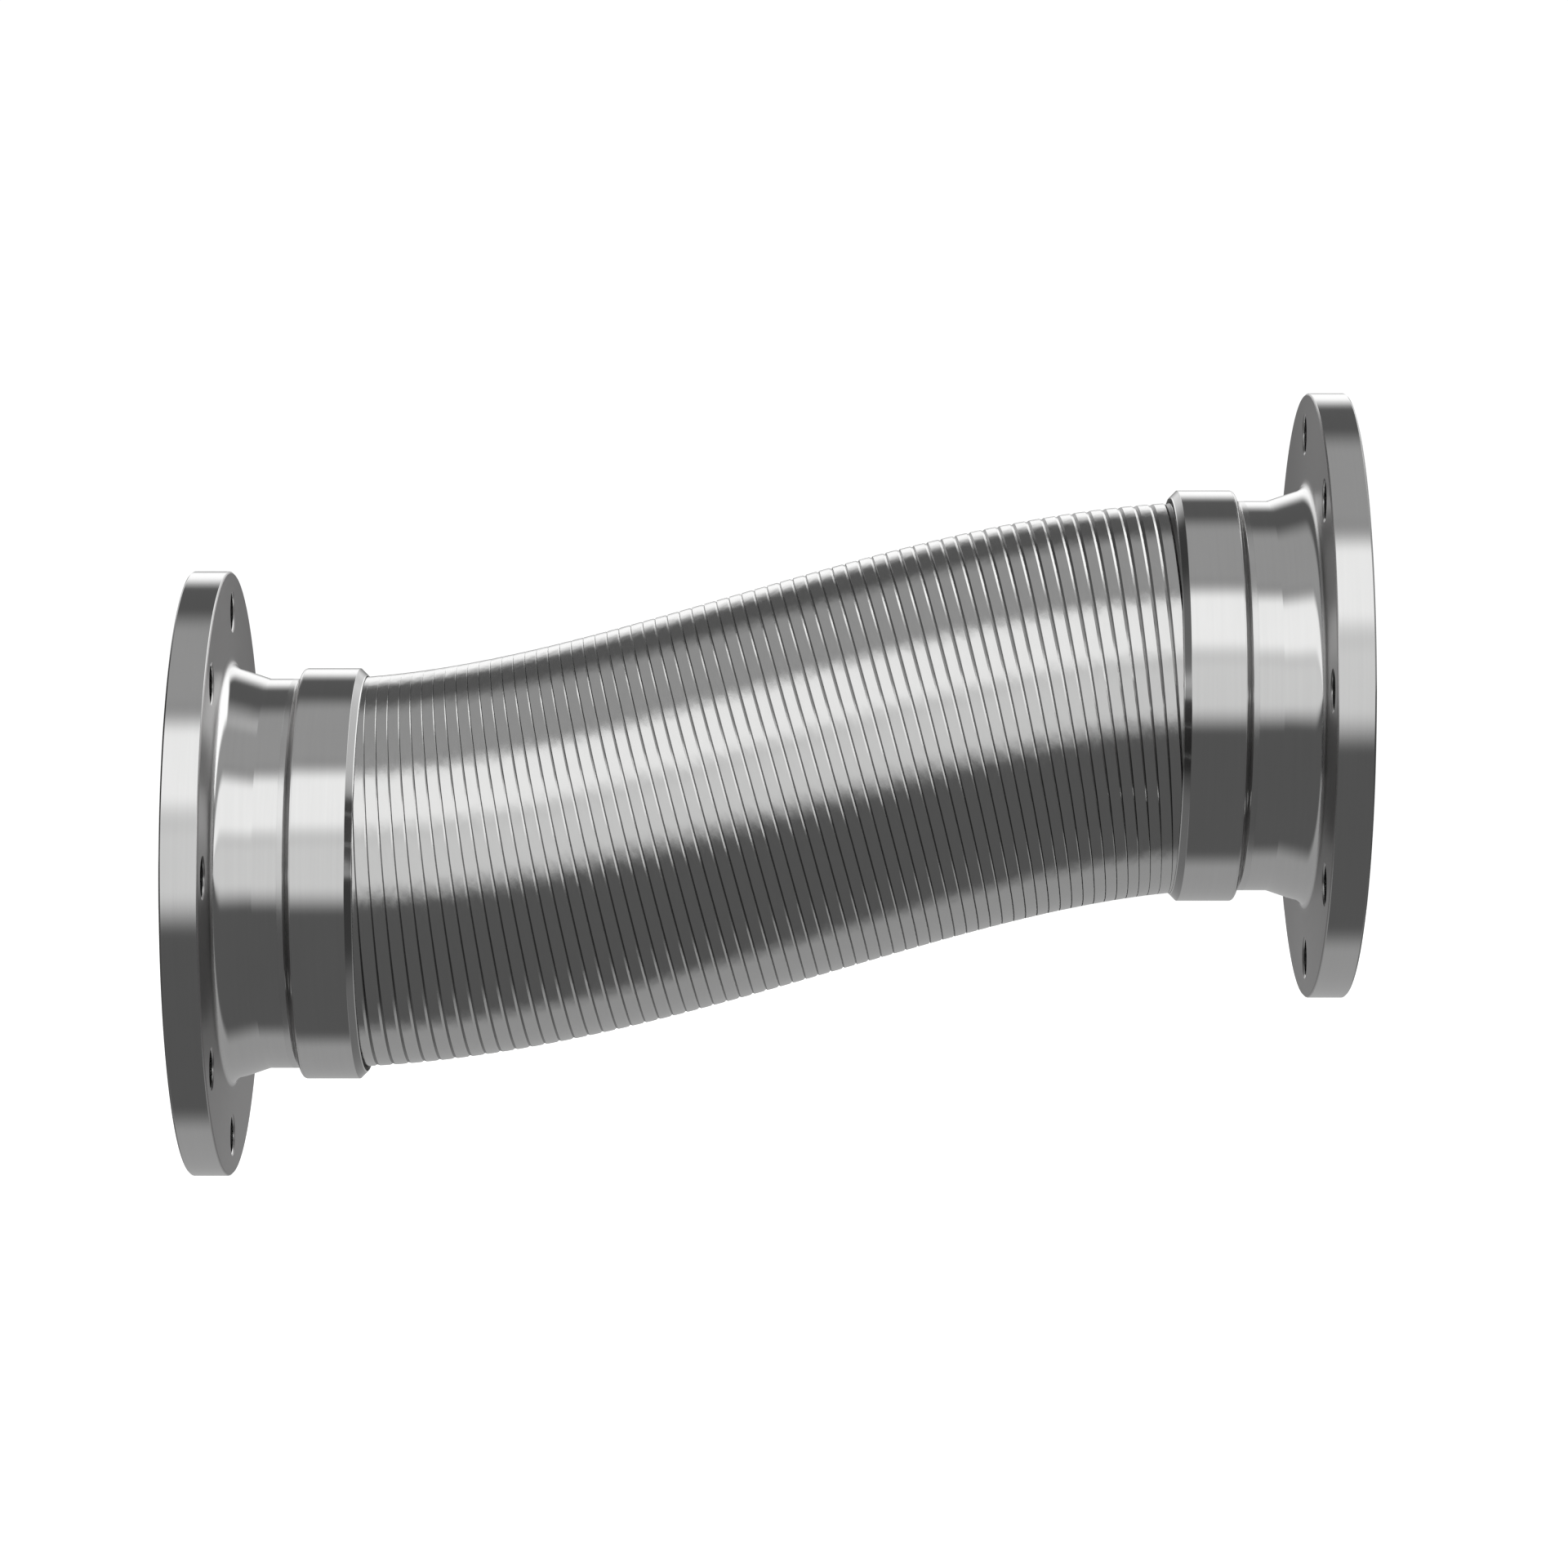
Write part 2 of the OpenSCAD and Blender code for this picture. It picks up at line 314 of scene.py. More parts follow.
def turned_steel(finishes, sizes):
    """Turned steel: dull on the flanges' backs and in the sleeves' mouths, with painted shade on two of the
    bevels and partly painted shade in the backs' darker colour.
    """

    def draw(w):
        place, z, radius, cx, cy, along = turned_places(w)
        fine = w.noise(w.vector(along * 2600, cx * 3, cy * 3), 3, 0.6)
        coarse = w.noise(w.vector(along * 420, cx * 1.5, cy * 1.5), 2)
        smudge = w.noise(w.scaled(place, 22), 4)
        grain = w.noise(w.scaled(place, 1500), 2, 0.7)
        at_back = w.between(z, sizes.thickness - 1.2 * MM, sizes.thickness - 0.2 * MM)
        back = w.between(radius, *BACK_BLEND) * at_back
        fillet = w.between(radius, *FILLET_BLEND) * at_back
        bored = w.between(z, sizes.sleeve_end - MOUTH_DULL[0], sizes.sleeve_end - MOUTH_DULL[1]) * (
            1 - w.between(radius, sizes.socket_r + 0.1 * MM, sizes.socket_r + 0.3 * MM)
        )
        roughness = (
            finishes.turned_gloss
            + bored * 0.5
            + w.maths("MAXIMUM", back, fillet * 0.8) * (finishes.faced_gloss - finishes.turned_gloss)
            + (fine - 0.5) * 0.05
            + (smudge - 0.5) * 0.06
            + back * (grain - 0.5) * 0.14
        )
        tone = w.maths("ADD", (coarse - 0.5) * 0.35 + (smudge - 0.5) * 0.5 + 0.5, back * (grain - 0.5) * 0.8)
        bright = w.mix(tone, shade(finishes.steel, 0.9), shade(finishes.steel, 1.06))
        # On the flanges' backs a darker colour, partly a duller faced finish and partly painted shade
        colour = w.mix(back, bright, w.mix(tone, shade(finishes.faced_and_shade, 0.85), shade(finishes.faced_and_shade, 1.15)))
        # Painted shade: the rim's bevel on the sealing side is painted at a fifth of the steel's colour, which
        # hides its highlight
        front_bevel_shade = w.between(radius, sizes.rim_r - 1.1 * MM, sizes.rim_r - 0.9 * MM) * (
            1 - w.between(z, sizes.face_h + 0.8 * MM, sizes.face_h + 1.1 * MM)
        )
        colour = w.mix(front_bevel_shade, colour, shade(finishes.steel, 0.2))
        # Painted shade: the bevel at the sleeve's mouth is painted at 0.42 of the steel's colour, which dims
        # its highlight
        bevel_start = sizes.sleeve_end - sizes.mouth_bevel
        mouth = w.between(z, bevel_start - 0.1 * MM, bevel_start + 0.3 * MM) * (
            1 - w.between(z, sizes.sleeve_end - 0.6 * MM, sizes.sleeve_end - 0.3 * MM)
        )
        colour = w.mix(mouth * (1 - bored), colour, shade(finishes.steel, 0.42))
        height = (fine - 0.5) * 0.12 + (coarse - 0.5) * 0.5 + back * (grain - 0.5) * 1.5
        return colour, roughness, height, 0.006 * MM

    return steel_material("lathe_finish", 0.45, draw)


def weld_steel(finishes):
    """Weld metal, ground smooth."""

    def draw(w):
        place, _, _, cx, cy, along = turned_places(w)
        ripple = w.noise(w.vector(along * 300, cx * 14, cy * 14), 3, 0.55)
        smudge = w.noise(w.scaled(place, 60), 4)
        roughness = 0.2 + (smudge - 0.5) * 0.16 + (ripple - 0.5) * 0.06
        colour = w.mix((smudge - 0.5) * 0.8 + 0.5, shade(finishes.steel, 0.88), shade(finishes.steel, 1.05))
        return colour, roughness, ripple, 0.04 * MM

    return steel_material("ground_finish", 0.2, draw)


def strip_steel(finishes, sizes):
    """The strip's own coordinates are its UV map: turns along it, and the share of its width across it."""

    def draw(w):
        u, v, _ = w.parts(w.node("ShaderNodeUVMap", {"uv_map": "strip"}).outputs["UV"])
        length = u * (2 * math.pi * sizes.outer_r)
        width = v * sizes.pitch
        turn = w.maths("FLOOR", u)
        waves = w.noise(w.vector(length * 45, width * 90 + turn * 3.1, 0.0), 2, 0.5)
        blotch = w.noise(w.vector(length * 160, width * 420 + turn * 7.7, 3.0), 3, 0.6)
        mottle = w.noise(w.vector(length * 700, width * 1500 + turn * 5.3, 5.0), 2, 0.6)
        lines = w.noise(w.vector(length * 60, width * 5200, 7.0), 2, 0.6)
        # Painted shade: the groove between windings is painted at 0.3 of the strip's colour, deeper than the
        # shade its depth gives, and made rougher
        groove = w.between(v, 0.938, 0.956)
        roughness = finishes.strip_gloss + (blotch - 0.5) * 0.12 + (lines - 0.5) * 0.16 + groove * 0.2
        tone = (blotch - 0.5) * 0.5 + (lines - 0.5) * 0.4 + 0.5
        clean = w.mix(tone, shade(finishes.strip, 0.9), shade(finishes.strip, 1.06))
        colour = w.mix(groove, clean, shade(finishes.strip, 0.3))
        height = (waves - 0.5) * 34 + (blotch - 0.5) * 2.2 + (mottle - 0.5) * 1.6 + (lines - 0.5) * 0.06
        return colour, roughness, height, 0.01 * MM

    return steel_material("rolled_finish", 0.4, draw)


def finish_of(slot):
    """The finish for one of the record's material slots."""
    scene = bpy.context.scene
    if slot == "turned_steel":
        name, make = "lathe_finish", lambda: turned_steel(scene.hose_finishes, scene.flange_sizes)
    elif slot == "weld_steel":
        name, make = "ground_finish", lambda: weld_steel(scene.hose_finishes)
    else:
        name, make = "rolled_finish", lambda: strip_steel(scene.hose_finishes, scene.hose_sizes)
    return bpy.data.materials.get(name) or make()


# Turned pieces


def rounded(outline, radius, steps=3, sharper_than=20):
    """Rounds the corners of a closed (radius, z) outline, apart from those of its smooth arcs."""
    points = [np.array(p, float) for p in outline]
    result = []
    for i, corner in enumerate(points):
        before = points[i - 1] - corner
        after = points[(i + 1) % len(points)] - corner
        len_a, len_b = np.linalg.norm(before), np.linalg.norm(after)
        before, after = before / len_a, after / len_b
        turn = math.degrees(math.acos(np.clip(-before @ after, -1, 1)))
        if turn < sharper_than or min(len_a, len_b) < 2.2 * radius:
            result.append(corner)
            continue
        half = math.radians(180 - turn) / 2
        cut = min(radius / math.tan(half), 0.45 * min(len_a, len_b))
        middle = (before + after) / np.linalg.norm(before + after)
        r = cut * math.tan(half)
        centre = corner + middle * r / math.sin(half)
        start, end = corner + before * cut - centre, corner + after * cut - centre
        for j in range(steps + 1):
            t = j / steps
            direction = start * (1 - t) + end * t
            result.append(centre + direction / np.linalg.norm(direction) * r)
    return result


def supported(outline, reach=0.3 * MM):
    """Adds points near both ends of each long straight part, which keep its shading flat."""
    points = [np.array(p, float) for p in outline]
    result = []
    for start, end in zip(points, points[1:] + points[:1]):
        result.append(start)
        length = np.linalg.norm(end - start)
        if length > 5 * reach:
            step = (end - start) * reach / length
            result += [start + step, end - step]
    return result


def arc(centre, radius, start, end, steps=10):
    """Points of an arc in a (radius, z) outline, from one angle to another, in degrees."""
    angles = [math.radians(start + (end - start) * i / steps) for i in range(steps + 1)]
    return [(centre[0] + radius * math.cos(a), centre[1] + radius * math.sin(a)) for a in angles]


def turned_mesh(name, outline, sides=192):
    """A ring turned from a closed (radius, z) outline."""
    points = np.array(outline)
    area = sum(a[0] * b[1] - b[0] * a[1] for a, b in zip(points, np.roll(points, -1, 0)))
    if area < 0:
        points = points[::-1]
    n = len(points)
    angles = np.arange(sides) * 2 * math.pi / sides
    places = np.stack(
        [
            np.outer(np.cos(angles), points[:, 0]),
            np.outer(np.sin(angles), points[:, 0]),
            np.tile(points[:, 1], (sides, 1)),
        ],
        -1,
    ).reshape(-1, 3)
    c, i = np.meshgrid(np.arange(sides), np.arange(n), indexing="ij")
    d, j = (c + 1) % sides, (i + 1) % n
    faces = np.stack([c * n + i, d * n + i, d * n + j, c * n + j], -1).reshape(-1, 4)
    mesh = bpy.data.meshes.new(name)
    mesh.from_pydata(places.tolist(), [], faces.tolist())
    mesh.update()
    return mesh


def smooth_by_angle(mesh, degrees=28):
    """Shades a mesh smooth, with its edges sharp where the faces meet at more than this angle."""
    work = bmesh.new()
    work.from_mesh(mesh)
    limit = math.radians(degrees)
    for face in work.faces:
        face.smooth = True
    for edge in work.edges:
        edge.smooth = len(edge.link_faces) == 2 and edge.calc_face_angle(0) < limit
    work.to_mesh(mesh)
    work.free()


def end_matrix(side):
    """Places a turned piece, drawn from its sealing face up Z, at the left or the right end."""
    hose = bpy.context.scene.hose_sizes
    if side == "left":
        return Matrix.Rotation(math.radians(90), 4, "Y")
    return Matrix.Translation((hose.face_to_face, 0, hose.offset)) @ Matrix.Rotation(math.radians(-90), 4, "Y")


def place_piece(name, mesh, matrix, slot, node):
    """Puts a piece into the scene in place of the CAD node."""
    old = bpy.data.objects.get(name)
    if old is not None:
        bpy.data.objects.remove(old)
    piece = bpy.data.objects.new(name, mesh)
    bpy.context.scene.collection.objects.link(piece)
    piece.matrix_world = matrix
    mesh.materials.clear()
    mesh.materials.append(finish_of(slot))
    bpy.context.view_layer.update()
    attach(piece, BODY)
    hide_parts(node)


def weld_prep(f):
    """Length of the bevel that prepares the neck's end for its weld, 30 degrees from square."""
    return (f.neck_r - f.root_r) * math.tan(math.radians(30))


def flange_outline(f):
    """Section of the flange with its hub and neck, as (radius, z) points."""
    slope = math.atan2(f.hub_r - f.neck_r, f.hub_end - f.thickness)
    fillet_r = f.hub_r + f.hub_fillet * (1 - math.sin(slope)) / math.cos(slope)
    centre = (fillet_r, f.thickness + f.hub_fillet)
    fillet = arc(centre, f.hub_fillet, 270, 180 + math.degrees(slope), 14)
    return [
        (f.bore_r, 0),
        (f.face_r, 0),
        (f.face_r, f.face_h),
        (f.rim_r - f.bevel, f.face_h),
        (f.rim_r, f.face_h + f.bevel),
        (f.rim_r, f.thickness - f.bevel),
        (f.rim_r - f.bevel, f.thickness),
        *fillet,
        (f.neck_r, f.hub_end),
        (f.neck_r, f.neck_end - weld_prep(f)),
        (f.root_r, f.neck_end),
        (f.bore_r, f.neck_end),
    ]


def hole_cutter(f):
    """One cutter for all bolt holes, bevels included."""
    past = 1 * MM
    outline = [
        (f.hole_r + f.bevel + past, f.face_h - past),
        (f.hole_r, f.face_h + f.bevel),
        (f.hole_r, f.thickness - f.bevel),
        (f.hole_r + f.bevel + past, f.thickness + past),
    ]
    work = bmesh.new()
    sides = 48
    angles = [2 * math.pi * i / sides for i in range(sides)]
    for k in range(f.holes):
        turn = 2 * math.pi * k / f.holes
        cx, cy = f.circle_r * math.cos(turn), f.circle_r * math.sin(turn)
        rings = []
        for r, z in outline:
            rings.append([work.verts.new((cx + r * math.cos(a), cy + r * math.sin(a), z)) for a in angles])
        for low, high in zip(rings, rings[1:]):
            for i in range(sides):
                j = (i + 1) % sides
                work.faces.new((low[i], low[j], high[j], high[i]))
        work.faces.new(rings[0][::-1])
        work.faces.new(rings[-1])
    mesh = bpy.data.meshes.new("hole_cutter")
    work.to_mesh(mesh)
    work.free()
    return mesh


def drilled(mesh, cutter_mesh):
    """mesh with the cutter's shape taken out of it."""
    body = bpy.data.objects.new("blank", mesh)
    cutter = bpy.data.objects.new("cutter", cutter_mesh)
    for o in (body, cutter):
        bpy.context.scene.collection.objects.link(o)
    cut = body.modifiers.new("holes", "BOOLEAN")
    cut.operation = "DIFFERENCE"
    cut.solver = "EXACT"
    cut.object = cutter
    bpy.context.view_layer.update()
    result = bpy.data.meshes.new_from_object(body.evaluated_get(bpy.context.evaluated_depsgraph_get()))
    for o in (body, cutter):
        bpy.data.objects.remove(o)
    bpy.data.meshes.remove(cutter_mesh)
    return result


class HOSE_OT_flanges(bpy.types.Operator):
    """Draws the two weld-neck flanges"""

    bl_idname = "hose.flanges"
    bl_label = "Flanges"

    def execute(self, context):
        f = context.scene.flange_sizes
        outline = supported(rounded(flange_outline(f), f.edge_round))
        for side in ("left", "right"):
            mesh = drilled(turned_mesh("flange", outline), hole_cutter(f))
            smooth_by_angle(mesh)
            place_piece("turned_flange_" + side, mesh, end_matrix(side), "turned_steel", "flange_" + side)
        return {"FINISHED"}


def weld_outline(f):
    """Section of the weld, which fills the V at the neck's end and slopes up to the sleeve."""
    foot = (f.neck_r + f.weld_round, f.neck_end)
    top = (f.sleeve_r - f.weld_round, f.neck_end + f.weld_rise)
    between = (top[0] - foot[0], top[1] - foot[1])
    lean = math.degrees(math.atan2(between[1], between[0]) - math.asin(2 * f.weld_round / math.hypot(*between)))
    return [
        (f.root_r, f.neck_end),
        (f.neck_r, f.neck_end - weld_prep(f)),
        *arc(foot, f.weld_round, 180, 90 + lean),
        *arc(top, f.weld_round, lean - 90, 0),
    ]


class HOSE_OT_neck_welds(bpy.types.Operator):
    """Draws the ground welds between the necks and the sleeves"""

    bl_idname = "hose.neck_welds"
    bl_label = "Neck welds"

    def execute(self, context):
        f = context.scene.flange_sizes
        for side in ("left", "right"):
            mesh = turned_mesh("neck_weld", supported(weld_outline(f)))
            smooth_by_angle(mesh)
            place_piece("ground_weld_" + side, mesh, end_matrix(side), "weld_steel", "neck_weld_" + side)
        return {"FINISHED"}


def sleeve_outline(f):
    """Section of the sleeve with its socket for the hose."""
    return [
        (f.bore_r, f.neck_end),
        (f.root_r, f.neck_end),
        (f.sleeve_r, f.neck_end + f.weld_rise),
        (f.sleeve_r, f.sleeve_end - f.mouth_bevel),
        (f.socket_r + f.mouth_land, f.sleeve_end),
        (f.socket_r, f.sleeve_end),
        (f.socket_r, f.socket_floor),
        (f.bore_r, f.socket_floor),
    ]


class HOSE_OT_sleeves(bpy.types.Operator):
    """Draws the two sleeves"""

    bl_idname = "hose.sleeves"
    bl_label = "Sleeves"

    def execute(self, context):
        f = context.scene.flange_sizes
        for side in ("left", "right"):
            mesh = turned_mesh("sleeve", supported(rounded(sleeve_outline(f), 0.12 * MM)))
            smooth_by_angle(mesh)
            place_piece("turned_sleeve_" + side, mesh, end_matrix(side), "turned_steel", "sleeve_" + side)
        return {"FINISHED"}


class HOSE_OT_seal_welds(bpy.types.Operator):
    """Finishes the seal welds inside the sleeves"""

    bl_idname = "hose.seal_welds"
    bl_label = "Seal welds"

    def execute(self, context):
        for side in ("left", "right"):
            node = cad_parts["hose_weld_" + side]
            node.data.materials.clear()
            node.data.materials.append(finish_of("weld_steel"))
        return {"FINISHED"}


# The wound hose

# Share across the strip that the hose's plain ends show
PLAIN_LOW, PLAIN_MIDDLE, PLAIN_HIGH = 0.2, 0.25, 0.3


class Bend:
    """Centre line of the hose: a beam held square at both ends, which are offset, and sagging between."""

    def __init__(self, h):
        self.h = h
        self.span = h.face_to_face - 2 * h.start
        self.gain = 0.6 * (h.offset / self.span) ** 2
        self.length = self.span * (1 + self.gain)

    def share(self, s):
        u = s / self.length
        return (1 + self.gain) * u - 30 * self.gain * (u**3 / 3 - u**4 / 2 + u**5 / 5)

    def slope(self, t):
        return (6 * self.h.offset * t * (1 - t) - 32 * self.h.sag * t * (1 - t) * (1 - 2 * t)) / self.span

    def curvature(self, t):
        second = (6 * self.h.offset * (1 - 2 * t) - 32 * self.h.sag * (1 - 6 * t + 6 * t * t)) / self.span**2
        return second / (1 + self.slope(t) ** 2) ** 1.5

    def stretch(self, s, angle):
        """How much longer the surface is than the centre line at that angle from the top."""
        return 1 - self.curvature(self.share(s)) * self.h.outer_r * np.cos(angle)

    def places(self, s, angle, radius):
        """Points at the length s, the angle from the top and the radius, wound left-handed."""
        t = self.share(s)
        slope = self.slope(t)
        size = np.sqrt(1 + slope**2)
        height = self.h.offset * t * t * (3 - 2 * t) - 16 * self.h.sag * (t * (1 - t)) ** 2
        return np.stack(
            [
                self.h.start + self.span * t - radius * np.cos(angle) * slope / size,
                radius * np.sin(angle) + 0 * t,
                height + radius * np.cos(angle) / size,
            ],
            -1,
        )


def plain_corners(u0, u1):
    """UV corners of a face in the plain ring at an end of the hose."""
    return (u0, PLAIN_LOW), (u1, PLAIN_LOW), (u1, PLAIN_HIGH), (u0, PLAIN_HIGH)


def wound_skin(bend, section, turns, first, pitch, sides, crest_r):
    """One side of the wound strip: points, faces and UV corners, and the rings at both ends.

    section is a list of (place along the hose from the groove, radius), in order along the hose.
    Each face's corners are (turns along the strip, share across it).
    """
    k = len(section)
    m = np.arange(turns * sides + 1)
    angle = 2 * math.pi * m / sides
    centre = first + pitch * m / sides
    rows = []
    for along, radius in section:
        s = centre + along / bend.stretch(centre, angle)
        rows.append(bend.places(s, angle, radius))
    lattice = np.stack(rows, 1).reshape(-1, 3)
    share = [(along - section[0][0]) / pitch for along, _ in section] + [1.0]

    ring_angle = 2 * math.pi * np.arange(sides) / sides
    start_ring = bend.places(np.zeros(sides), ring_angle, crest_r)
    end_ring = bend.places(np.full(sides, bend.length), ring_angle, crest_r)
    points = np.concatenate([lattice, start_ring, end_ring])
    base_start = len(lattice)
    base_end = base_start + sides

    faces, corners = [], []
    last = turns * sides
    for a in range(last):
        # The last turn has no neighbour: its own rows close it, up to its last crest.
        joined = a < last - sides
        for i in range(k if joined else k - 1):
            near, far = a * k + i, (a + 1) * k + i
            if i < k - 1:
                faces.append((near, far, far + 1, near + 1))
            else:
                faces.append((near, far, (a + 1 + sides) * k, (a + sides) * k))
            u0, u1 = a / sides, (a + 1) / sides
            corners.append(((u0, share[i]), (u1, share[i]), (u1, share[i + 1]), (u0, share[i + 1])))
    # Bands from the rings to the first and the last turn, whose ends are closed by one face each.
    for c in range(sides):
        d = (c + 1) % sides
        u0, u1 = c / sides, (c + 1) / sides
        if c < sides - 1:
            faces.append((base_start + c, base_start + d, (c + 1) * k, c * k))
            corners.append(plain_corners(u0, u1))
        else:
            side_row = tuple(range(0, k))
            faces.append((base_start + c, base_start, *side_row, sides * k, c * k))
            a, b, *rest = plain_corners(u0, u1)
            corners.append((a, b, *(((u1, PLAIN_MIDDLE),) * k), *rest))
    for c in range(sides):
        d = (c + 1) % sides
        a = last - sides + c
        u0, u1 = c / sides, (c + 1) / sides
        top = k - 1
        if c > 0:
            faces.append((a * k + top, (a + 1) * k + top, base_end + d, base_end + c))
            corners.append(plain_corners(u0, u1))
        else:
            side_row = tuple(last * k + i for i in range(k - 1, -1, -1))
            faces.append((a * k + top, (a + 1) * k + top, base_end + d, base_end, *side_row))
            corners.append((*plain_corners(u0, u1), *(((u0, PLAIN_MIDDLE),) * k)))
    return points, faces, corners, base_start, base_end


class HOSE_OT_strip(bpy.types.Operator):
    """Draws the wound strip"""

    bl_idname = "hose.strip"
    bl_label = "Wound strip"

    def execute(self, context):
        h = context.scene.hose_sizes
        bend = Bend(h)
        sides = 88
        bore_r = h.outer_r - h.wall
        turns = int((bend.length - 2 * h.first_groove) / h.pitch) + 1
        half = (h.pitch - h.shoulder - h.lip) / 2
        # Places across the crest, with points close to its edges that keep the shading of its flat
        across = (-1, -0.93, -0.5, 0, 0.5, 0.93, 1)
        crest = [(h.lip + half * (1 + k), h.outer_r - h.crown * k * k) for k in across]
        outside = [*crest, (h.pitch, h.outer_r - h.depth), (h.pitch + 0.3 * h.lip, h.outer_r - h.depth)]
        seam_r = bore_r + 0.7 * MM
        inner_side = [
            (0.2 * MM, bore_r),
            (h.pitch - 1.2 * MM, bore_r),
            (h.pitch - 0.8 * MM, seam_r),
            (h.pitch - 0.2 * MM, seam_r),
        ]
        first = h.first_groove - h.pitch
        outer = wound_skin(bend, outside, turns, first, h.pitch, sides, h.outer_r)
        inner = wound_skin(bend, inner_side, turns, first, h.pitch, sides, bore_r)
        shift = len(outer[0])
        points = np.concatenate([outer[0], inner[0]])
        # Seen from outside, the outer skin's faces run one way and the inner skin's the other.
        faces = [f[::-1] for f in outer[1]] + [tuple(i + shift for i in f) for f in inner[1]]
        corners = [c[::-1] for c in outer[2]] + list(inner[2])
        for c in range(sides):
            d = (c + 1) % sides
            u0, u1 = c / sides, (c + 1) / sides
            faces.append((outer[3] + c, outer[3] + d, inner[3] + shift + d, inner[3] + shift + c))
            corners.append(plain_corners(u0, u1))
            faces.append((outer[4] + d, outer[4] + c, inner[4] + shift + c, inner[4] + shift + d))
            corners.append(plain_corners(u1, u0))
        mesh = bpy.data.meshes.new("wound_strip")
        # The piece's own Z runs along the hose, as the turned pieces' does.
        matrix = end_matrix("left")
        local = points @ np.array(matrix.to_3x3())
        mesh.from_pydata(local.tolist(), [], faces)
        layer = mesh.uv_layers.new(name="strip")
        flat = np.array([p for face in corners for p in face], np.float32)
        layer.uv.foreach_set("vector", flat.ravel())
        mesh.update()
        smooth_by_angle(mesh, 24)
        place_piece("wound_strip", mesh, matrix, "strip_steel", "hose_strip")
        return {"FINISHED"}


# Studio


# Soft panels of a plain studio. Each has its start and end in degrees round the hose's length (0 is level
# towards the camera, 90 is up) and its light as a share of the studio's strength.
PANELS = {
    "fill": (-14, 22, 0.42),
    "key": (22, 62, 0.6),
    "overhead": (62, 112, 0.2),
    "back": (146, 170, 0.6),
    "wall": (170, 200, 0.12),
    "floor_card": (-200, -106, 0.2),
}
# The panel past the right end of the hose, in the same degrees
SIDE_PANEL = (100, 160, 0.75)
# Share of X in the light's direction over which that panel comes in
SIDE_REACH = (0.28, 0.4)
ROOM = 0.06
SOFTNESS = 9
BACKDROP = 1.05


def inside(w, angle, start, end):
    """1 inside a panel, 0 outside, smooth at its edges."""
    return w.between(angle, start - SOFTNESS, start + SOFTNESS) * (
        1 - w.between(angle, end - SOFTNESS, end + SOFTNESS)
    )


def studio_world(studio):
    """A dim room with soft panels of light round the hose, and plain white behind it."""
    world = bpy.data.worlds.new("studio")
    bpy.context.scene.world = world
    world.use_nodes = True
    w = Wiring(world.node_tree)
    x, y, z = w.parts(w.node("ShaderNodeTexCoord").outputs["Generated"])
    angle = w.maths("ARCTAN2", z, 0 - y) * (180 / math.pi)
    share = ROOM
    for start, end, light in PANELS.values():
        share = share + inside(w, angle, start, end) * (light - share)
    start, end, light = SIDE_PANEL
    aside = w.between(x, *SIDE_REACH)
    share = share + inside(w, angle, start, end) * aside * (light - share)
    seen = w.node("ShaderNodeLightPath").outputs["Is Camera Ray"]
    lit = w.node("ShaderNodeBackground", color=(1, 1, 1, 1), strength=share * studio.brightness)
    white = w.node("ShaderNodeBackground", color=(1, 1, 1, 1), strength=BACKDROP)
    both = w.node("ShaderNodeMixShader", input0=seen, input1=lit.outputs[0], input2=white.outputs[0])
    w.node("ShaderNodeOutputWorld", surface=both.outputs[0])


def pale_floor(lowest):
    """A plain floor just under the part, which neither lights the steel nor shows in it."""
    mesh = bpy.data.meshes.new("studio_floor")
    reach = 6.0
    corners = [(x * reach, y * reach, lowest) for x, y in ((-1, -1), (1, -1), (1, 1), (-1, 1))]
    mesh.from_pydata(corners, [], [(0, 1, 2, 3)])
    floor = bpy.data.objects.new("studio_floor", mesh)
    bpy.context.scene.collection.objects.link(floor)
    material = bpy.data.materials.new("studio_floor")
    material.use_nodes = True
    w = Wiring(material.node_tree)
    shader = w.node(
        "ShaderNodeBsdfPrincipled",
        base_color=(0.3, 0.3, 0.3, 1),
        roughness=0.9,
        emission_color=(1, 1, 1, 1),
        emission_strength=1.0,
    )
    w.node("ShaderNodeOutputMaterial", surface=shader.outputs["BSDF"])
    mesh.materials.append(material)
    floor.visible_glossy = False
    floor.visible_diffuse = False


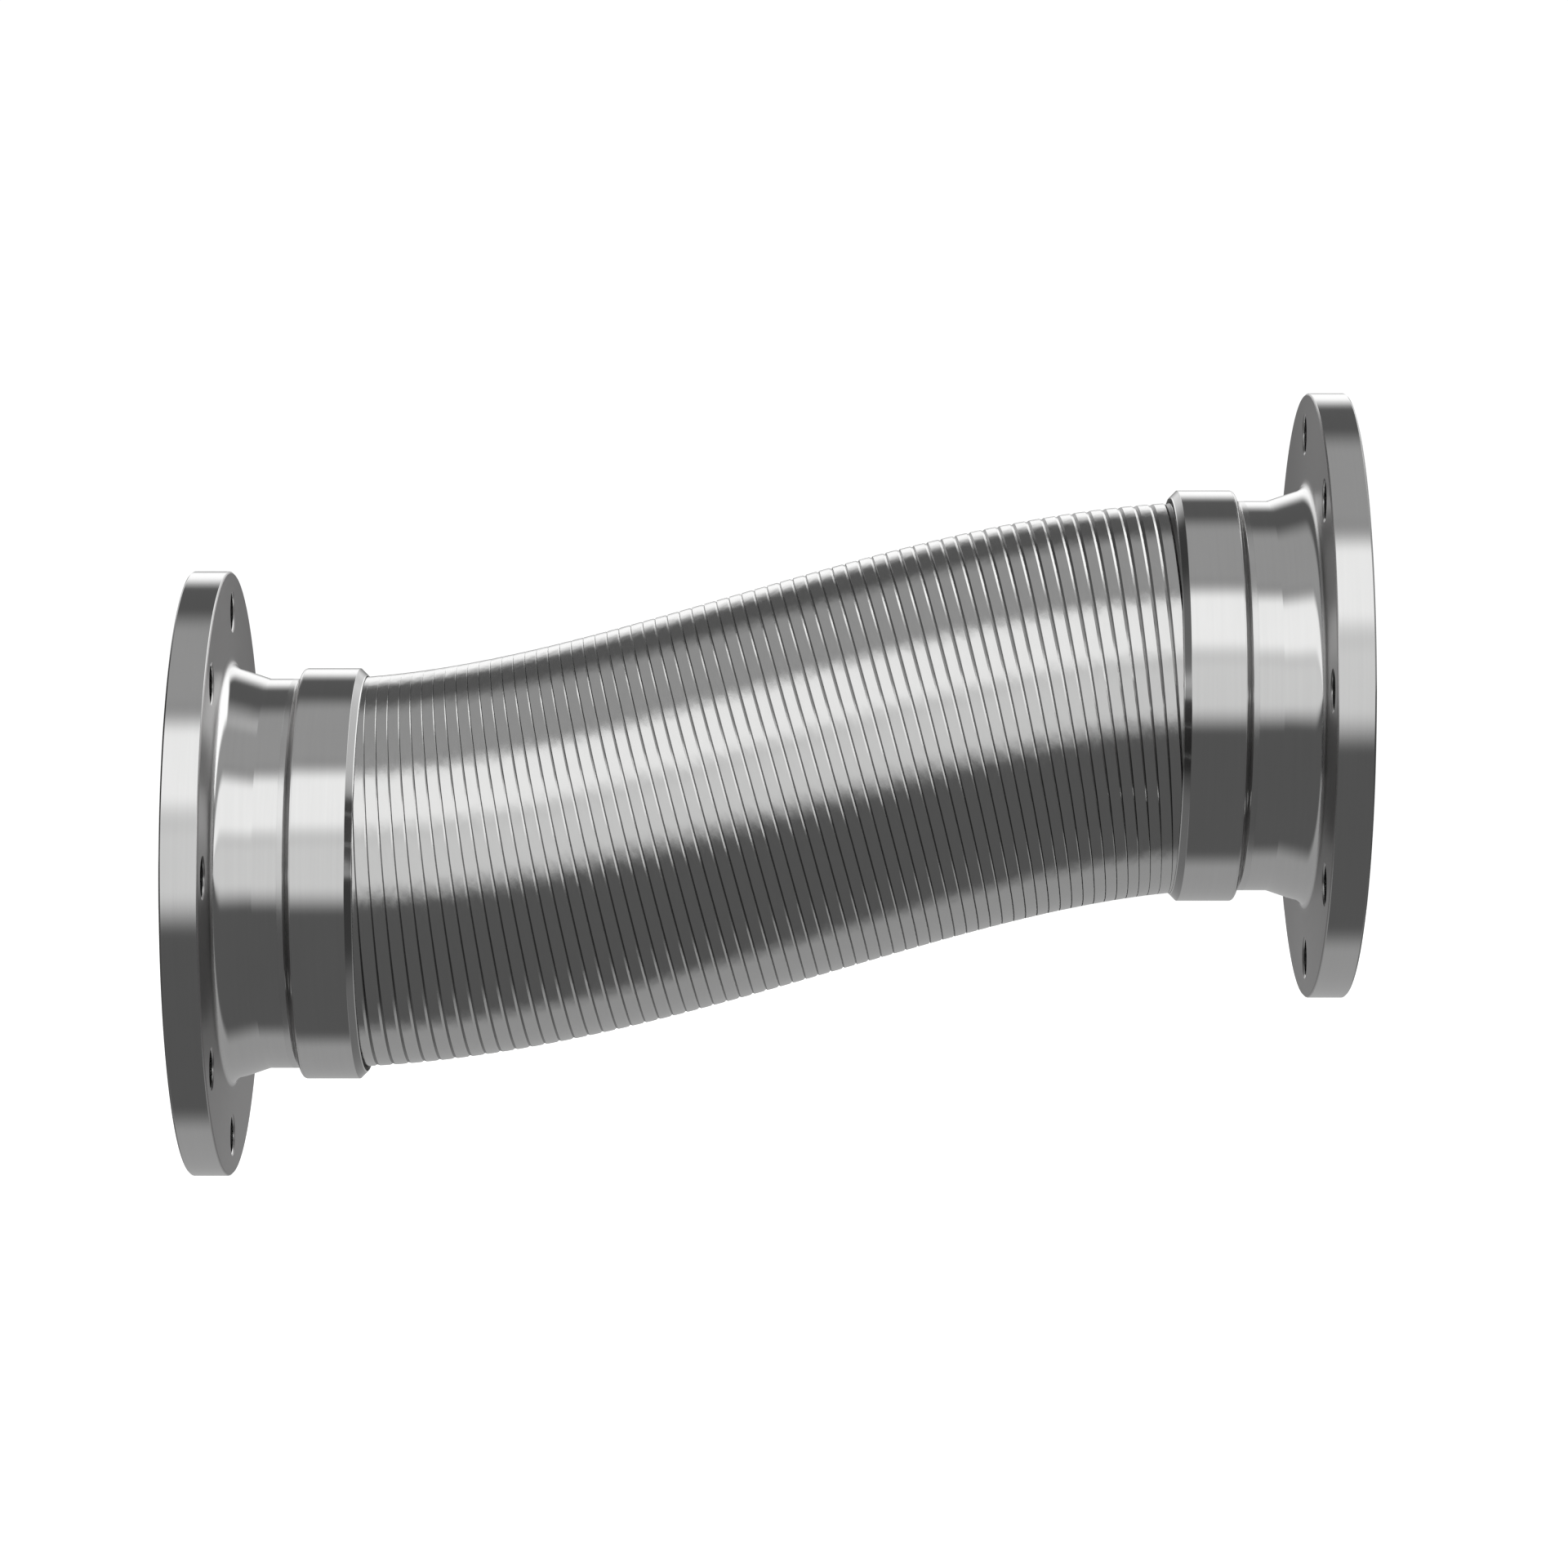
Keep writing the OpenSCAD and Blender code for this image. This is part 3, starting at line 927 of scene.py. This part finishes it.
class HOSE_OT_studio(bpy.types.Operator):
    """Sets up the camera, the light and the floor"""

    bl_idname = "hose.studio"
    bl_label = "Studio"

    def execute(self, context):
        studio = context.scene.hose_studio
        data = bpy.data.cameras.new("photo_camera")
        data.sensor_width = 36
        data.sensor_fit = "HORIZONTAL"
        data.lens = studio.lens
        camera = bpy.data.objects.new("photo_camera", data)
        context.scene.collection.objects.link(camera)
        camera.location = (studio.camera_x, -studio.distance, studio.camera_z)
        camera.rotation_euler = (math.radians(90), 0, 0)
        context.scene.camera = camera
        context.scene.view_settings.view_transform = "Standard"
        context.scene.view_settings.look = "None"
        studio_world(studio)
        pale_floor(cad_box[0][2] - 0.2 * MM)
        return {"FINISHED"}


class HOSE_PT_panel(bpy.types.Panel):
    """Lists the sizes, the pieces and the studio"""

    bl_idname = "HOSE_PT_panel"
    bl_label = "Metal hose"
    bl_space_type = "VIEW_3D"
    bl_region_type = "UI"
    bl_category = "Metal hose"

    def draw(self, context):
        for group in ("hose_sizes", "flange_sizes", "hose_finishes", "hose_studio"):
            box = self.layout.box()
            values = getattr(context.scene, group)
            for key in values.__annotations__:
                box.prop(values, key)
        for operator in OPERATORS:
            self.layout.operator(operator.bl_idname)


OPERATORS = (
    HOSE_OT_flanges,
    HOSE_OT_neck_welds,
    HOSE_OT_sleeves,
    HOSE_OT_seal_welds,
    HOSE_OT_strip,
    HOSE_OT_studio,
)
GROUPS = {
    "hose_sizes": HoseSizes,
    "flange_sizes": FlangeSizes,
    "hose_finishes": Finishes,
    "hose_studio": Studio,
}


def register():
    for cls in (*GROUPS.values(), *OPERATORS, HOSE_PT_panel):
        bpy.utils.register_class(cls)
    for name, cls in GROUPS.items():
        setattr(bpy.types.Scene, name, bpy.props.PointerProperty(type=cls))


def unregister():
    for name in GROUPS:
        delattr(bpy.types.Scene, name)
    for cls in reversed((*GROUPS.values(), *OPERATORS, HOSE_PT_panel)):
        bpy.utils.unregister_class(cls)


def main():
    register()
    bpy.ops.hose.flanges()
    bpy.ops.hose.neck_welds()
    bpy.ops.hose.sleeves()
    bpy.ops.hose.seal_welds()
    bpy.ops.hose.strip()
    bpy.ops.hose.studio()


if __name__ == "__main__":
    main()
